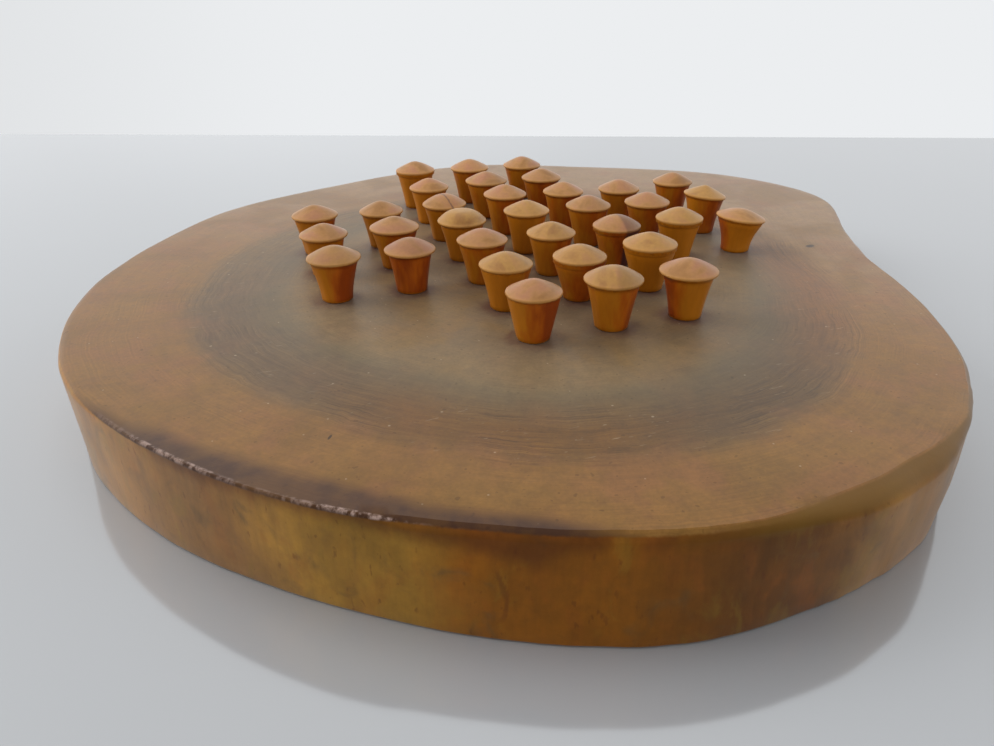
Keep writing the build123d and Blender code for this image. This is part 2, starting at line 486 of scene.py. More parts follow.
def makeSliceWood():
    material, add = newMaterial("varnishedLogSlice")
    thickness = round(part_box("board_slab")[1].z / mm, 3)
    coords = add("TexCoord").outputs["Object"]
    place = add("Mapping", Vector=coords, Scale=(1000, 1000, 1000))
    axes = add("SeparateXYZ", place)
    fromPith = add(
        "Mapping", Vector=coords, Location=(-slab["pith"][0], -slab["pith"][1], 0), Scale=(1000, 1000, 0))
    pithDistance = add("VectorMath LENGTH", fromPith).outputs["Value"]
    outward = add("VectorMath NORMALIZE", fromPith)
    pithAxes = add("SeparateXYZ", fromPith)
    growth = add("Attribute", attribute_name="growth").outputs["Fac"]
    inset = add("Attribute", attribute_name="inset").outputs["Fac"]
    depth = add("Math SUBTRACT", thickness, axes.outputs["Z"])
    # Angle as a share of a turn: 0 at the left, 0.25 at the front, 0.5 at the right
    turn, pithTurn = [add(
        "Math MULTIPLY_ADD", add("Math ARCTAN2", centred.outputs["Y"], centred.outputs["X"]),
        1 / (2 * math.pi), 0.5) for centred in (axes, pithAxes)]

    # Wobble: nothing in the wood is a true circle
    slowWave = add("TexNoise", Vector=place, Scale=1 / sliceWood["slowWaveSize"], Detail=1.0)
    quickWave = add("TexNoise", Vector=place, Scale=1 / sliceWood["quickWaveSize"], Detail=2.0)
    patches = add("TexNoise", Vector=place, Scale=1 / sliceWood["patchSize"], Detail=3.0, Distortion=0.6)
    border = add("ValToRGB", pithTurn, stops=[
        (t, radius / slab["meanRadius"]) for t, radius in heartBorder])
    wobbled = add("Math MULTIPLY_ADD", slowWave, 12.0, add("Math MULTIPLY_ADD", quickWave, 4.0, add(
        "Math SUBTRACT", pithDistance, 8.0)))
    zone = add("Math DIVIDE", add("Math DIVIDE", wobbled, slab["meanRadius"]), border)

    # Zones from the pith outwards; 1 is the border of the heart
    zoneShare = add("Math DIVIDE", zone, sliceWood["zoneSpan"])
    zones = add("ValToRGB", zoneShare, stops=[
        (share / sliceWood["zoneSpan"], sliceWood[name]) for share, name in (
            (0.30, "heart"), (0.55, "heart"), (0.64, "palerRing"), (0.70, "palerRing"), (0.78, "greyBand"),
            (0.92, "greyBand"), (1.04, "sap"), (1.20, "sap"))])
    warm = add("Math MULTIPLY", add("MapRange SMOOTHSTEP", patches, 0.45, 0.62, 0, 0.6), add(
        "MapRange SMOOTHSTEP", zone, 0.8, 0.6))
    top = add("Mix RGBA", Factor=warm, A=zones, B=sliceWood["heartWarm"])
    band = add("ValToRGB", pithTurn, stops=[(t, sliceWood[name]) for t, name in (
        (0.0, "bandLeft"), (0.10, "bandLeft"), (0.145, "bandFrontLeft"), (0.215, "bandFrontLeft"),
        (0.25, "bandFront"), (0.30, "bandFront"), (0.37, "bandRight"), (0.45, "bandRight"),
        (0.6, "bandBack"), (0.9, "bandBack"), (1.0, "bandLeft"))])
    inBand = add("ValToRGB", zoneShare, stops=[
        (0.60, 0.0), (0.69, 0.75), (0.73, 1.0), (0.785, 0.95), (0.85, 0.0)])
    top = add("Mix RGBA", Factor=inBand, A=top, B=band)
    inSap = add("MapRange SMOOTHSTEP", zone, 0.98, 1.08)
    # Painted sheen: towards the back and the right the sapwood is mixed paler and greyer, as the varnish's
    # veil would make it
    backSheenShare = add(
        "MapRange SMOOTHSTEP", add("Math MULTIPLY_ADD", axes.outputs["X"], 0.7, axes.outputs["Y"]), -75, 60)
    top = add("Mix RGBA", Factor=add("Math MULTIPLY", inSap, backSheenShare), A=top, B=sliceWood["sapSheen"])
    top = add(
        "Mix RGBA",
        Factor=add("Math MULTIPLY", inSap, add("MapRange SMOOTHSTEP", patches, 0.58, 0.36, 0, 0.6)), A=top,
        B=sliceWood["sapDark"])
    hues = add("TexNoise", Vector=place, Scale=1 / sliceWood["hueSize"], Detail=3.0, Roughness=0.6)
    for low, high, most, name in ((0.50, 0.66, 0.36, "sapPink"), (0.50, 0.36, 0.22, "sapOlive")):
        top = add(
            "Mix RGBA", Factor=add(
                "Math MULTIPLY", add("MapRange SMOOTHSTEP", zone, 0.9, 1.1, 0.25, 1.0),
                add("MapRange SMOOTHSTEP", hues, low, high, 0, most)), A=top, B=sliceWood[name])

    # Growth rings: soft lines a few millimetres apart that come and go, strongest in the dark band, where
    # they wander; streaks along them; and mottling that hides most of them
    wander = add("TexNoise", Vector=place, Scale=1 / sliceWood["wanderSize"], Detail=2.0)
    ringPlace = add(
        "Math MULTIPLY_ADD", wander, add("MapRange SMOOTHSTEP", inBand, 0.0, 1.0, 1.6, 4.0),
        add("Math MULTIPLY_ADD", slowWave, 8.0, growth))
    bands = add(
        "TexNoise", noise_dimensions="1D", W=add("Math DIVIDE", ringPlace, sliceWood["ringSpacing"]),
        Detail=1.0)
    along = add("SeparateXYZ", add("VectorMath SCALE", outward, Scale=8.0))
    streaks = add(
        "TexNoise", Vector=add(
            "CombineXYZ", add("Math DIVIDE", ringPlace, sliceWood["streakWidth"]), along.outputs["X"],
            along.outputs["Y"]), Scale=1.0, Detail=3.0, Roughness=0.6)
    rays = add(
        "TexNoise", Vector=add(
            "CombineXYZ", add("Math DIVIDE", pithDistance, sliceWood["rayLength"]),
            add("Math MULTIPLY", along.outputs["X"], 10.0), add("Math MULTIPLY", along.outputs["Y"], 10.0)),
        Scale=1.0, Detail=2.0)
    mottle = add("TexNoise", Vector=place, Scale=1 / sliceWood["mottleSize"], Detail=4.0, Roughness=0.7)
    # Pores: thin dark lines along the rings, seen best in the dark band
    pores = add(
        "TexNoise", Vector=add(
            "CombineXYZ", add("Math DIVIDE", ringPlace, sliceWood["poreSpacing"]),
            add("Math MULTIPLY", along.outputs["X"], 0.45), add("Math MULTIPLY", along.outputs["Y"], 0.45)),
        Scale=1.0, Detail=2.0, Roughness=0.5)
    present = add(
        "MapRange SMOOTHSTEP",
        add("TexNoise", Vector=place, Scale=1 / sliceWood["ringPatchSize"], Detail=2.0), 0.38, 0.60)
    lineStrength = add("Math MULTIPLY", add("MapRange SMOOTHSTEP", inBand, 0.0, 1.0, 0.3, 1.15), present)
    shade = add("Math MULTIPLY_ADD", add("Math SUBTRACT", bands, 0.5), lineStrength, 1.0)
    shade = add("Math MULTIPLY", shade, add(
        "Math MULTIPLY_ADD", add("Math SUBTRACT", streaks, 0.5),
        add("MapRange SMOOTHSTEP", inBand, 0.0, 1.0, 0.26, 0.95), 1.0))
    shade = add("Math MULTIPLY", shade, add("Math MULTIPLY_ADD", mottle, 0.8, 0.60))
    shade = add("Math MULTIPLY", shade, add(
        "Math MULTIPLY_ADD", add("Math MULTIPLY", add("MapRange SMOOTHSTEP", pores, 0.54, 0.68), present),
        add("MapRange SMOOTHSTEP", inBand, 0.0, 1.0, -0.07, -0.28), 1.02))
    shade = add("Math MULTIPLY", shade, add("Math MULTIPLY_ADD", rays, 0.14, 0.93))
    # Painted shade dulls the front right of the heart, and painted light and sheen make the sapwood at the
    # right and the back paler
    frontPaintedShade = add("Math MULTIPLY", add("MapRange SMOOTHSTEP", zone, 1.0, 0.88), add(
        "ValToRGB", pithTurn, stops=[(0.22, 0.0), (0.27, 0.13), (0.36, 0.13), (0.42, 0.0)]))
    backPaintedSheen = add("Math MULTIPLY", add("MapRange SMOOTHSTEP", zone, 0.92, 1.05), add(
        "ValToRGB", pithTurn,
        stops=[(0.26, 0.0), (0.34, 0.09), (0.48, 0.11), (0.70, 0.11), (0.90, 0.06), (1.0, 0.03)]))
    shade = add("Math MULTIPLY", shade, add("Math ADD", backPaintedSheen, add("Math SUBTRACT", 1.0, frontPaintedShade)))
    # Grit: the fine grain of sanded end wood, with dark pits and pale scratches
    grit = add("TexNoise", Vector=place, Scale=1 / sliceWood["gritSize"], Detail=2.0)
    shade = add("Math MULTIPLY", shade, add("Math MULTIPLY_ADD", grit, 0.22, 0.89))
    pits = add(
        "MapRange SMOOTHSTEP", add("TexNoise", Vector=place, Scale=1 / sliceWood["pitSize"], Detail=1.0),
        0.68, 0.76, 1.0, 0.62)
    shade = add("Math MULTIPLY", shade, pits)
    top = add("VectorMath SCALE", top, Scale=shade)
    scratches = add(
        "MapRange SMOOTHSTEP", add(
            "TexNoise",
            Vector=add("Mapping", Vector=place, Rotation=(0, 0, math.radians(25)), Scale=(0.16, 1, 1)),
            Scale=1 / sliceWood["scratchSize"], Detail=1.0, Distortion=1.5), 0.70, 0.80, 0, 0.4)
    scratches = add("Math MULTIPLY", scratches, inBand)
    top = add("Mix RGBA", Factor=scratches, A=top, B=sliceWood["dust"])

    # Grime and painted shade round the feet of the pegs: varnish and grime gathered there, with painted shade
    # where the pegs stand on the slab
    nearest = add("VectorMath WRAP", place, (slab["holePitch"] / 2,) * 3, (-slab["holePitch"] / 2,) * 3)
    fromHole = add("VectorMath LENGTH", add("VectorMath MULTIPLY", nearest, (1, 1, 0))).outputs["Value"]
    sides = [add("Math ABSOLUTE", axes.outputs[axis]) for axis in "XY"]
    inCross = add(
        "Math MULTIPLY", add("MapRange SMOOTHSTEP", add("Math MINIMUM", *sides), *sliceWood["armEdge"]),
        add("MapRange SMOOTHSTEP", add("Math MAXIMUM", *sides), *sliceWood["crossEdge"]))
    grimeAndShade = add("Math MULTIPLY_ADD", mottle, 5.0, fromHole)
    grimeAndShade = add("MapRange SMOOTHSTEP", grimeAndShade, *sliceWood["grimeAndShadeFade"])
    grimeAndShade = add("Math MULTIPLY", add("Math MULTIPLY", grimeAndShade, inCross), add(
        "MapRange SMOOTHSTEP", quickWave, 0.40, 0.60, 0.35, 0.95))
    top = add("Mix RGBA", Factor=grimeAndShade, A=top, B=sliceWood["grimeAndShade"])

    # Dust under the varnish: pale specks of 0.5 mm, here and there
    cells = add("TexVoronoi", voronoi_dimensions="2D", Vector=place, Scale=1 / sliceWood["speckSpacing"])
    kept = add("SeparateColor", cells.outputs["Color"])
    speckSize = add("Math MULTIPLY_ADD", inBand, 0.022, add(
        "MapRange SMOOTHSTEP", kept.outputs["Red"], 0.72, 1.0, 0.0, 0.036))
    speckSize = add("Math MULTIPLY", speckSize, add("Math GREATER_THAN", kept.outputs["Red"], 0.91))
    dust = add("Math MULTIPLY", add("Math LESS_THAN", cells.outputs["Distance"], speckSize), 0.4)
    top = add("Mix RGBA", Factor=dust, A=top, B=sliceWood["dust"])
    for (x, y), length, width, direction in knotPlaces.values():
        spot = add("VectorMath LENGTH", add(
            "Mapping", vector_type="TEXTURE", Vector=place, Location=(x, y, thickness),
            Rotation=(0, 0, math.radians(direction)), Scale=(length, width, 10))).outputs["Value"]
        top = add(
            "Mix RGBA", Factor=add("MapRange SMOOTHSTEP", spot, 1.2, 0.6, 0, 0.95), A=top,
            B=sliceWood["knot"])

    # Scar: dark stain where the bark came off, feathered inwards along the rays
    feather = add("Math MULTIPLY_ADD", rays, 1.4, add("Math MULTIPLY_ADD", quickWave, 3.6, add(
        "Math MULTIPLY_ADD", mottle, 2.0, -3.5)))
    scarWidth = add("ValToRGB", turn, stops=[(t, reach / reachMost) for t, reach in scarReach])
    scar = add(
        "Math MULTIPLY", add(
            "MapRange SMOOTHSTEP", add(
                "Math SUBTRACT",
                add("Math MULTIPLY_ADD", scarWidth, reachMost, add("Math MULTIPLY", feather, scarWidth)),
                inset), -1.6, 4.2, 0, 0.97), add("MapRange SMOOTHSTEP", scarWidth, 0.0, 0.10))
    scar = add("Math MULTIPLY", scar, add(
        "Math MULTIPLY", add("MapRange SMOOTHSTEP", mottle, 0.30, 0.58, 0.82, 1.0),
        add("MapRange SMOOTHSTEP", quickWave, 0.34, 0.58, 0.76, 1.0)))
    top = add("Mix RGBA", Factor=scar, A=top, B=sliceWood["scar"])
    # Bare edge: where the upper edge was cut back, the wood shows golden
    edge = add("Math MULTIPLY", add("MapRange SMOOTHSTEP", depth, 0.18, 0.40), add(
        "MapRange SMOOTHSTEP", turn, 0.214, 0.25))
    edge = add("Math MULTIPLY", edge, add("MapRange SMOOTHSTEP", turn, 0.45, 0.40))
    edge = add("Math MULTIPLY", edge, add(
        "MapRange SMOOTHSTEP", add("Math MULTIPLY_ADD", quickWave, 1.2, depth), 2.2, 4.6, 0.9, 0.0))

    # Wall: the outside of the log, grain upright, with slow blotches
    grain = add(
        "TexNoise", Vector=add("Mapping", Vector=place, Scale=(1, 1, 0.12)),
        Scale=1 / sliceWood["grainWidth"], Detail=4.0, Roughness=0.6)
    blotches = add(
        "TexNoise", Vector=add("Mapping", Vector=place, Scale=(1, 1, 0.6)),
        Scale=1 / sliceWood["blotchSize"], Detail=4.0, Roughness=0.55, Distortion=0.8)
    wall = add(
        "ValToRGB", add("Math MULTIPLY_ADD", blotches, 0.03, add("Math SUBTRACT", turn, 0.015)),
        stops=[(t, sliceWood[name]) for t, name in wallTones])
    wallHues = add(
        "TexNoise", Vector=add("Mapping", Vector=place, Scale=(1, 1, 0.55)),
        Scale=1 / sliceWood["wallHueSize"], Detail=4.0, Roughness=0.62, Distortion=0.5)
    for low, high, most, name in ((0.53, 0.68, 0.22, "wallRust"), (0.47, 0.34, 0.3, "wallMoss")):
        wall = add(
            "Mix RGBA", Factor=add("MapRange SMOOTHSTEP", wallHues, low, high, 0, most), A=wall,
            B=sliceWood[name])
    greyPatch = add(
        "MapRange SMOOTHSTEP", add(
            "TexNoise", Vector=add("Mapping", Vector=place, Location=(31, 7, 0), Scale=(1, 1, 0.8)),
            Scale=1 / sliceWood["greyPatchSize"], Detail=4.0, Distortion=1.0), 0.55, 0.80, 0, 0.7)
    wall = add("Mix RGBA", Factor=greyPatch, A=wall, B=sliceWood["wallGrey"])
    # A thin dark crack that runs down the wall in a bow at the front
    crackPlace = sliceWood["crackRound"] * sliceWood["crackTurn"]
    bow = add("Math SINE", add("Math MULTIPLY_ADD", axes.outputs["Z"], 0.24, -1.0))
    fromCrack = add("Math ABSOLUTE", add("Math MULTIPLY_ADD", bow, 1.6, add(
        "Math MULTIPLY_ADD", turn, -sliceWood["crackRound"],
        add("Math MULTIPLY_ADD", wallHues, 5.0, crackPlace - 2.5))))
    crack = add("Math MULTIPLY", add("MapRange SMOOTHSTEP", fromCrack, 0.9, 0.15, 0, 0.45), add(
        "Math MULTIPLY", add("MapRange SMOOTHSTEP", axes.outputs["Z"], 19, 16),
        add("MapRange SMOOTHSTEP", axes.outputs["Z"], 4, 7)))
    underEdge = add("ValToRGB", turn, stops=[(t, reach / reachMost) for t, reach in bandReach])
    underEdge = add(
        "Math MULTIPLY", add(
            "MapRange SMOOTHSTEP", add(
                "Math SUBTRACT", add("Math MULTIPLY_ADD", underEdge, reachMost, add(
                    "Math MULTIPLY_ADD", wallHues, 6.0, -2.6)), depth), -2.6, 2.2, 0, 0.75),
        add("MapRange SMOOTHSTEP", underEdge, 0.0, 0.05))
    # Dark flecks, about half a millimetre wide
    flecks = add(
        "MapRange SMOOTHSTEP", add(
            "TexNoise", Vector=add("Mapping", Vector=place, Scale=(1, 1, 0.45)),
            Scale=1 / sliceWood["fleckSize"], Detail=2.0), 0.64, 0.74, 0, 0.45)
    for mask in (crack, underEdge, flecks):
        wall = add("Mix RGBA", Factor=mask, A=wall, B=sliceWood["topBand"])
    wallShade = add("Math MULTIPLY", add("Math MULTIPLY_ADD", grain, 0.38, 0.82), add(
        "Math MULTIPLY_ADD", blotches, 1.2, 0.43))
    wallShade = add("Math MULTIPLY", wallShade, add("Math MULTIPLY_ADD", mottle, 0.6, 0.71))
    wall = add("VectorMath SCALE", wall, Scale=wallShade)
    onWall = add(
        "MapRange SMOOTHSTEP", add("Math MULTIPLY_ADD", grain, 0.5, add("Math SUBTRACT", depth, 0.25)),
        0.65, 1.15)
    colour = add("Mix RGBA", Factor=onWall, A=top, B=wall)
    colour = add("Mix RGBA", Factor=edge, A=colour, B=sliceWood["edge"])
    # Painted glints: broken pale highlights painted on the worn edge of the scar
    paintedGlint = add(
        "Math MULTIPLY", add(
            "Math MULTIPLY", add(
                "MapRange SMOOTHSTEP", add("Math ABSOLUTE", add("Math MULTIPLY_ADD", inset, 1.0, -0.45)),
                0.75, 0.3), add("MapRange SMOOTHSTEP", depth, 1.1, 0.6)), add(
            "Math MULTIPLY", add("ValToRGB", turn, stops=[
                (0.080, 0.0), (0.10, 0.7), (0.122, 0.8), (0.13, 0.3), (0.142, 0.8), (0.152, 1.0),
                (0.168, 0.9), (0.182, 0.0)]), add(
                "MapRange SMOOTHSTEP", add(
                    "TexNoise", Vector=add("Mapping", Vector=place, Scale=(1, 1, 0.3)),
                    Scale=1 / sliceWood["paintedGlintSize"], Detail=3.0, Roughness=0.65), 0.40, 0.66, 0, 0.75)))
    paintedGlint = add("Math MULTIPLY", paintedGlint, add("MapRange SMOOTHSTEP", quickWave, 0.38, 0.55, 0.25, 1.0))
    colour = add("Mix RGBA", Factor=paintedGlint, A=colour, B=sliceWood["paintedGlint"])

    height = add("Math MULTIPLY_ADD", streaks, 0.5, grain)
    bump = add("Bump", Strength=0.4, Distance=0.00005, Height=height)
    shader = add(
        "BsdfPrincipled", Roughness=add(
            "MapRange", mottle, 0, 1, sliceWood["roughness"] - 0.06, sliceWood["roughness"] + 0.06),
        IOR=1.46, Normal=bump,
        **{"Base Color": colour, "Specular Tint": "#FFCB95", "Sheen Weight": 0.22, "Sheen Roughness": 0.42})
    add("OutputMaterial", Surface=shader)
    return material


pegNames = sorted(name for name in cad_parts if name.startswith("peg_"))
pegCentres = {name: (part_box(name)[0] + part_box(name)[1]) / 2 for name in pegNames}
sliceMaterial = makeSliceWood()
board = makeSlab(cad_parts["board_slab"], [c.xy for c in pegCentres.values()], sliceMaterial)
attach(board, "board")
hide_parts("board_slab")
print("slab:", len(board.data.polygons), "faces,", len(pegNames), "holes")


# Pegs: turned by hand, so each differs a little in taper, rim, tip, lean and tone
peg = {
    "aroundSteps": 48,
    "shankRings": 10,
    "flareRings": 4,
    "rimRings": 6,
    "headRings": 10,
    "sharpAngle": 50,
    "seed": 100,
    "tenonRadius": 2.75,
    "tenonBevel": 0.5,
    "tenonLength": 10.0,
    "footRadius": 4.8,
    "footBevel": 0.4,
    "seatGap": 0.02,        # the shoulder stands this much above the slab
    "taper": 1.15,          # 1 is a straight cone, more keeps the shank slim and flares it towards the rim
    "hollow": 0.1,          # how far the shank's side bows inwards
    "rimOverhang": 1.0,
    "rimFlare": 1.3,
    "collar": 0.0,          # height of the upright band below the rim
    "collarStep": 0.35,     # and how far the shank steps in under it
    "rimRound": 0.55,
    "rimUnderTurn": 40,     # how far the rim's rounding runs in under it, in degrees
    "coneHeight": 3.5,
    "coneRadius": 0.27,     # the cone would reach this much further out than the rim does
    "dome": 1.22,           # 1 is a straight cone, more is a dome
    "tipRound": 0.13,
    "facets": 9,
    "facetDepth": 0.12,
    "facetPatches": 4.0,    # size of the patches where the facets wander
    "leanFrom": 0.3,        # lean, tilt and facets start at these heights above the seat
    "tiltFrom": 2.0,
    "lean": (0.0, 0.0),     # degrees towards +X and +Y
    "headTilt": (0.0, 0.0), # how much further the head slopes down, in degrees towards +X and +Y
    "flatter": 0.0,         # how much lower the head's cone is than that of the CAD model
    "gold": 0.5,            # how golden the wood is, 0 for red-brown
    "headGold": 0.45,       # and how golden its head is, 0 for pink
    "litGoldTurns": (165, 215),        # the golden side, painted as if lit, lies between these, in degrees
    "litGoldSpan": 0.7,        # how much the sides differ: painted light on one, painted shade on the other
    "splitTurns": (-60, 60),        # direction across the line that parts the head in two tones
    "splitPlace": 0.0,
    "splitShadeTones": (-0.13, 0.05),    # how much lighter or darker the head is beyond that line, partly its own tone and partly painted shade
    "stain": 0.0,           # how dark the stained side of the split is
    "crease": 0.0,          # how dark the line along the split is
    "toneSpread": 0.06,
    "grainSpread": 50,      # the grain's pattern starts anywhere within this distance
}
pegTraits = {
    "peg_a3": {"gold": 0.6},
    "peg_a4": {"gold": 0.75, "rimOverhang": 1.4},
    "peg_a5": {"taper": 1.3, "rimOverhang": 1.4, "rimFlare": 1.8, "gold": 0.45, "litGoldSpan": 1.1,
               "dome": 1.35, "headGold": 0.55, "splitPlace": 6, "splitShadeTone": -0.14},
    "peg_b3": {"gold": 0.65},
    "peg_b4": {"gold": 0.4},
    "peg_b5": {"rimOverhang": 1.4, "footRadius": 5.0, "gold": 0.34, "litGoldSpan": 0.2, "dome": 1.4,
               "headGold": 0.3, "splitPlace": 6, "splitShadeTone": -0.13},
    "peg_c1": {"gold": 0.85, "litGoldSpan": 0.4, "collar": 0.8},
    "peg_c2": {"gold": 0.8},
    "peg_c3": {"crease": 0.6, "splitTurn": 13, "splitPlace": 0.6, "dome": 1.6},
    "peg_c4": {"dome": 2.2, "tipRound": 0.3, "gold": 0.85, "headGold": 0.9},
    "peg_c5": {"rimOverhang": 0.9, "gold": 0.4, "dome": 1.3},
    "peg_c6": {"gold": 0.75, "rimOverhang": 0.5, "rimFlare": 0.7, "headGold": 0.8, "dome": 1.3},
    "peg_c7": {"taper": 1.0, "hollow": 0.0, "rimOverhang": 0.45, "rimFlare": 0.7, "gold": 0.42,
               "litGoldSpan": 1.0, "litGoldTurn": 172, "dome": 1.2, "headGold": 0.35},
    "peg_d1": {"gold": 0.4},
    "peg_d2": {"gold": 0.45},
    "peg_d3": {"splitShadeTone": -0.16},
    "peg_d4": {"gold": 0.75, "splitShadeTone": 0.1, "headGold": 0.75},
    "peg_d5": {"headGold": 0.7, "gold": 0.55},
    "peg_d6": {"collar": 1.0, "rimOverhang": 0.7, "gold": 0.45, "dome": 1.4, "headGold": 0.65},
    "peg_d7": {"dome": 1.5, "rimOverhang": 1.3, "rimFlare": 1.8, "taper": 1.0, "gold": 0.56, "litGoldSpan": 0.5,
               "headGold": 0.7, "splitTurn": -20, "splitPlace": -0.6, "splitShadeTone": -0.2},
    "peg_e1": {"gold": 0.4},
    "peg_e2": {"gold": 0.35},
    "peg_e3": {"gold": 0.4},
    "peg_e4": {"gold": 0.45},
    "peg_e5": {"collar": 0.8, "stain": 0.85, "splitPlace": 0.2, "splitTurn": 0, "gold": 0.45, "dome": 1.5},
    "peg_e6": {"collar": 0.9, "rimOverhang": 0.7, "dome": 1.3, "tipRound": 0.05, "gold": 0.8,
               "headGold": 0.75},
    "peg_e7": {"taper": 1.1, "rimOverhang": 1.5, "rimFlare": 1.9, "gold": 0.5, "litGoldTurn": -55,
               "litGoldSpan": 1.2, "dome": 1.3, "headGold": 0.4},
    "peg_f3": {"gold": 0.55},
    "peg_f4": {"gold": 0.4},
    "peg_f5": {"collar": 0.8, "gold": 1.0, "litGoldSpan": 0.2, "headGold": 0.8, "dome": 1.3},
    "peg_g3": {"gold": 0.35},
    "peg_g4": {"taper": 1.3, "tipRound": 0.06, "lean": (2.0, 0.0), "headTilt": (4.5, 0.0), "dome": 1.1,
               "headGold": 0.9},
    "peg_g5": {"taper": 1.7, "footRadius": 5.0, "dome": 1.4, "flatter": 0.8, "gold": 0.75, "litGoldTurn": -62,
               "litGoldSpan": 1.1, "lean": (4.5, -0.5), "headTilt": (2.0, 0.0), "headGold": 0.5},
}
# Peg wood: turned hardwood, varnished. The eye sees a pale tan head of end grain and a bright orange shank,
# golden on one side and red-brown on the other, partly its own tone and partly painted light and shade; its
# grain runs up and down
pegWood = {
    "headPink": "#A46F4C", "headGold": "#A87B3B", "headEdgeHighlight": "#B98443", "headDark": "#86562C",
    "shankRedShaded": "#883706", "shank": "#A6510A", "shankGoldLit": "#AE6810", "underRimShade": "#6E3406",
    "stain": "#45282A", "roughness": 0.38,
    # Sizes of the patterns in mm
    "fibreWidth": 1.3, "broadSize": 4.0, "fineSize": 1.1, "endGrainSize": 4.5,
}


def makePegWood():
    material, add = newMaterial("varnishedPegWood")
    place = add("Attribute", attribute_name="pegPlace").outputs["Vector"]
    rimLevel, goldAndLight, headGold, split, splitShadeTone, stain, crease, tone, footLevel = [add(
        "Attribute", attribute_name=name).outputs["Fac"] for name in (
        "rimLevel", "goldAndLight", "headGold", "split", "splitShadeTone", "stain", "crease", "tone", "footLevel")]
    fibres = add(
        "TexNoise", Vector=add("Mapping", Vector=place, Scale=(1, 1, 0.1)), Scale=1 / pegWood["fibreWidth"],
        Detail=3.0, Roughness=0.6)
    broad = add(
        "TexNoise", Vector=add("Mapping", Vector=place, Scale=(1, 1, 0.3)), Scale=1 / pegWood["broadSize"],
        Detail=2.0)
    fine = add("TexNoise", Vector=place, Scale=1 / pegWood["fineSize"], Detail=2.0)
    # Shank: the wood's own tone, with painted light on its golden side and painted shade on its red-brown
    # side
    shank = add(
        "ValToRGB", add("Math MULTIPLY_ADD", broad, 0.8, add("Math MULTIPLY_ADD", fibres, 0.25, add(
            "Math SUBTRACT", goldAndLight, 0.58))),
        stops=[(0.22, pegWood["shankRedShaded"]), (0.46, pegWood["shank"]), (0.72, pegWood["shankGoldLit"])])
    shank = add("VectorMath SCALE", shank, Scale=add("Math MULTIPLY_ADD", fibres, 0.30, 0.87))
    # Painted highlight: just above the foot the shank turns golden, as if its bevel caught the light
    shank = add(
        "Mix RGBA", Factor=add("MapRange SMOOTHSTEP", footLevel, 0.9, 0.5, 0, 0.45), A=shank,
        B=pegWood["shankGoldLit"])
    endGrain = add(
        "TexNoise", Vector=add("Mapping", Vector=place, Scale=(1, 0.5, 0.5)),
        Scale=1 / pegWood["endGrainSize"], Detail=3.0)
    head = add(
        "Mix RGBA",
        Factor=add("MapRange SMOOTHSTEP", add("Math MULTIPLY_ADD", endGrain, 1.6, headGold), 0.85, 1.65),
        A=pegWood["headPink"], B=pegWood["headGold"])
    head = add(
        "Mix RGBA", Factor=add("MapRange SMOOTHSTEP", endGrain, 0.49, 0.70, 0, 0.6), A=head,
        B=pegWood["headDark"])
    head = add("VectorMath SCALE", head, Scale=add("Math MULTIPLY_ADD", fine, 0.3, 0.86))
    # Painted highlight: the rim's rounded edge is mixed paler and more golden
    head = add(
        "Mix RGBA", Factor=add("MapRange SMOOTHSTEP", rimLevel, 0.9, -0.3, 0, 0.7), A=head,
        B=pegWood["headEdgeHighlight"])
    # Painted shade: beyond the split line the head is mostly darker, partly from its own tone
    head = add("VectorMath SCALE", head, Scale=add(
        "Math MULTIPLY_ADD", splitShadeTone, add("MapRange SMOOTHSTEP", split, -0.8, 0.8), 1.0))
    # Painted shade: a darker band just under the rim
    underRimShade = add("Math MULTIPLY", add("MapRange SMOOTHSTEP", rimLevel, -1.9, -0.9), add(
        "MapRange SMOOTHSTEP", fine, 0.44, 0.62, 0.0, 0.4))
    shank = add("Mix RGBA", Factor=underRimShade, A=shank, B=pegWood["underRimShade"])
    onHead = add(
        "MapRange SMOOTHSTEP", add("Math MULTIPLY_ADD", fine, 0.7, add("Math SUBTRACT", rimLevel, 0.35)),
        -0.75, -0.35)
    colour = add("Mix RGBA", Factor=onHead, A=shank, B=head)
    stained = add("Math MULTIPLY", stain, add(
        "Math MULTIPLY", add("MapRange SMOOTHSTEP", split, -0.5, 0.7),
        add("Math MULTIPLY_ADD", onHead, -0.45, 1.0)))
    creased = add("Math MULTIPLY", crease, add("Math MULTIPLY", onHead, add(
        "MapRange SMOOTHSTEP",
        add("Math ABSOLUTE", add("Math MULTIPLY_ADD", fine, 0.8, add("Math SUBTRACT", split, 0.4))), 0.55,
        0.1)))
    for mask in (stained, creased):
        colour = add("Mix RGBA", Factor=mask, A=colour, B=pegWood["stain"])
    colour = add("VectorMath SCALE", colour, Scale=tone)
    bump = add("Bump", Strength=0.4, Distance=0.00004, Height=fibres)
    shader = add(
        "BsdfPrincipled",
        Roughness=add("MapRange", broad, 0, 1, pegWood["roughness"] - 0.08, pegWood["roughness"] + 0.08),
        IOR=1.46, Normal=bump, **{"Base Color": colour})
    add("OutputMaterial", Surface=shader)
    return material


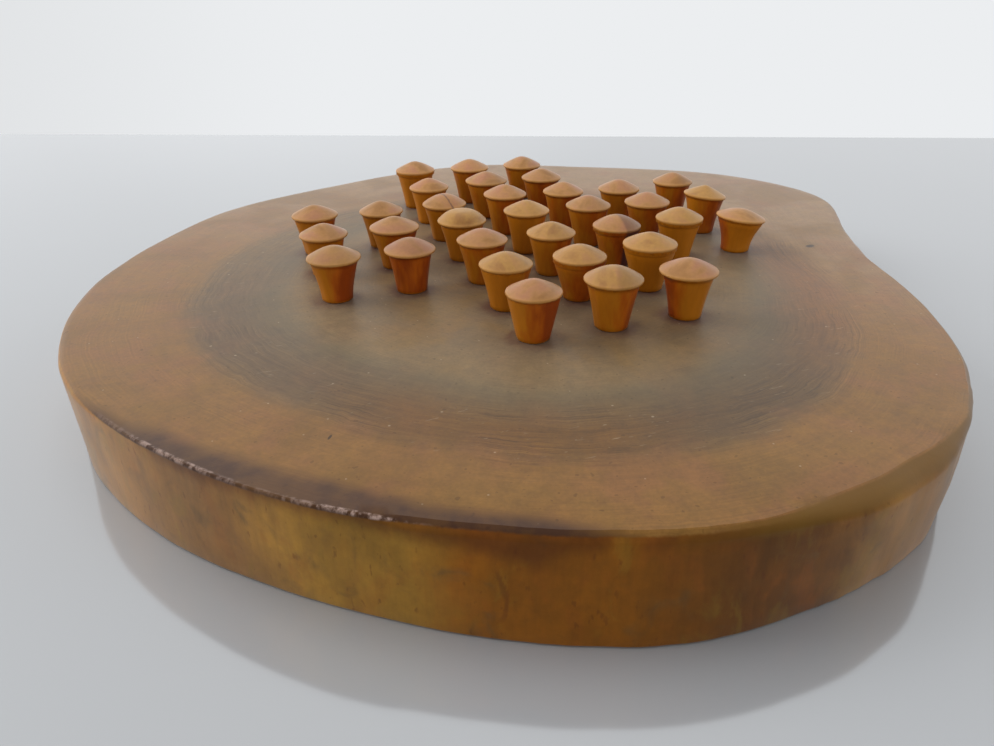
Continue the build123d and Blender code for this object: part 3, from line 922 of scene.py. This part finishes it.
def pegOutline(traits, rimRadius, rimHeight):
    # Half outline from the end of the tenon to the tip, radius and height above the seat
    outline = [
        (0, -traits["tenonLength"]),
        (traits["tenonRadius"] - traits["tenonBevel"], -traits["tenonLength"]),
        (traits["tenonRadius"], -traits["tenonLength"] + traits["tenonBevel"]),
        (traits["tenonRadius"], traits["seatGap"]),
        (traits["footRadius"] - traits["footBevel"], traits["seatGap"]),
    ]
    roundOff, underTurn = traits["rimRound"], math.radians(traits["rimUnderTurn"])
    coneAngle = math.atan(traits["coneHeight"] / (rimRadius + traits["coneRadius"]))
    startAngle = math.pi / 2 - coneAngle
    startRadius = rimRadius - roundOff * (1 - math.cos(startAngle))
    startHeight = rimHeight + traits["coneHeight"] * (1 - startRadius / (rimRadius + traits["coneRadius"]))
    roundMiddle = startHeight - roundOff * math.sin(startAngle)
    rimUnder = roundMiddle - roundOff * math.sin(underTurn) - traits["collar"]
    underRadius = rimRadius - roundOff * (1 - math.cos(underTurn))
    neckRadius = rimRadius - traits["rimOverhang"]
    if traits["collar"]:
        neckRadius = min(neckRadius, underRadius - traits["collarStep"])
    neckHeight = rimUnder - traits["rimFlare"]
    for t in np.linspace(0, 1, traits["shankRings"] + 1):
        bow = traits["hollow"] * 4 * t * (1 - t)
        radius = traits["footRadius"] + (neckRadius - traits["footRadius"]) * t ** traits["taper"] - bow
        outline.append((radius, traits["footBevel"] + (neckHeight - traits["footBevel"]) * t))
    for step in range(1, traits["flareRings"]):
        t = step / traits["flareRings"]
        radius = neckRadius + (underRadius - neckRadius) * t ** 2
        outline.append((radius, neckHeight + traits["rimFlare"] * t))
    if traits["collar"]:
        outline.append((underRadius, rimUnder))
    for f in np.linspace(-underTurn, startAngle, traits["rimRings"] + 1):
        outline.append((rimRadius - roundOff + roundOff * math.cos(f), roundMiddle + roundOff * math.sin(f)))
    tipHeight = rimHeight + traits["coneHeight"]
    blunt = traits["tipRound"]
    for step in range(1, traits["headRings"] + 1):
        out = 1 - step / traits["headRings"]
        fall = (math.sqrt(out * out + blunt * blunt) - blunt) / (math.sqrt(1 + blunt * blunt) - blunt)
        outline.append((startRadius * out, tipHeight - (tipHeight - startHeight) * fall ** traits["dome"]))
    return outline, neckHeight


def makePeg(node, number, material):
    rng = random.Random(peg["seed"] + number)
    traits = dict(peg)
    for name in ("splitTurn", "splitShadeTone", "litGoldTurn"):
        traits[name] = rng.uniform(*peg[name + "s"])
    traits.update(pegTraits.get(node, {}))
    low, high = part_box(node)
    centre = (low + high) / 2
    seat = low.z + traits["tenonLength"] * mm
    rimRadius = (high.x - low.x) / 2 / mm
    rimHeight = (high.z - seat) / mm - traits["coneHeight"]
    traits["coneHeight"] -= traits["flatter"]
    outline, neckHeight = pegOutline(traits, rimRadius, rimHeight)

    bm = bmesh.new()
    verts = [bm.verts.new((r * mm, 0, z * mm)) for r, z in outline]
    edges = [bm.edges.new(pair) for pair in zip(verts, verts[1:])]
    bmesh.ops.spin(bm, geom=verts + edges, cent=(0, 0, 0), axis=(0, 0, 1), angle=2 * math.pi,
                   steps=traits["aroundSteps"], use_merge=True)
    bmesh.ops.remove_doubles(bm, verts=bm.verts[:], dist=touching)
    bmesh.ops.recalc_face_normals(bm, faces=bm.faces[:])

    pegPlace = bm.verts.layers.float_vector.new("pegPlace")
    layers = {name: bm.verts.layers.float.new(name) for name in (
        "rimLevel", "footLevel", "goldAndLight", "headGold", "split", "splitShadeTone", "stain", "crease", "tone")}
    grainTurn = rng.uniform(0, 2 * math.pi)
    spread = traits["grainSpread"]
    offset = Vector([rng.uniform(-spread, spread) for axis in "XYZ"])
    tone = 1 + rng.uniform(-1, 1) * traits["toneSpread"]
    phase = rng.uniform(0, 2 * math.pi)
    litGoldTurn = math.radians(traits["litGoldTurn"])
    splitTurn = math.radians(traits["splitTurn"])
    leanX, leanY = (math.tan(math.radians(degrees)) for degrees in traits["lean"])
    tiltX, tiltY = (math.tan(math.radians(sum(both))) for both in zip(traits["lean"], traits["headTilt"]))
    for vert in bm.verts:
        local = vert.co / mm
        angle = math.atan2(local.y, local.x)
        vert[pegPlace] = Matrix.Rotation(grainTurn, 3, "Z") @ local + offset
        vert[layers["rimLevel"]] = local.z - rimHeight
        vert[layers["footLevel"]] = local.z
        # Painted light and shade: one side of the shank more golden, the other more red-brown
        vert[layers["goldAndLight"]] = traits["gold"] + traits["litGoldSpan"] * 0.5 * math.cos(angle - litGoldTurn)
        vert[layers["split"]] = (local.x * math.cos(splitTurn) + local.y * math.sin(splitTurn)
                                 + traits["splitPlace"])
        for name in ("headGold", "splitShadeTone", "stain", "crease"):
            vert[layers[name]] = traits[name]
        vert[layers["tone"]] = tone
        if local.z > traits["leanFrom"]:
            onShank = 1 - smoothStep(neckHeight - 1, rimHeight, local.z)
            flat = (math.cos((angle + phase) * traits["facets"]) * 0.5
                    + 0.5 * noise.noise(Vector((local.x, local.y, 0)) / traits["facetPatches"] + offset))
            local.xy *= 1 + traits["facetDepth"] * onShank * flat / max(local.xy.length, 1)
            height = local.z
            tilted = smoothStep(traits["tiltFrom"], neckHeight, height)
            local.z -= (local.x * tiltX + local.y * tiltY) * tilted
            local.x += height * leanX
            local.y += height * leanY
        vert.co = Vector((centre.x, centre.y, seat)) + local * mm
    return newPiece(node.replace("peg_", "peg"), bm, material, sharpAngle=traits["sharpAngle"])


pegMaterial = makePegWood()
for number, name in enumerate(pegNames):
    piece = makePeg(name, number, pegMaterial)
    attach(piece, name)
    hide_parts(name)
print("pegs:", len(pegNames))
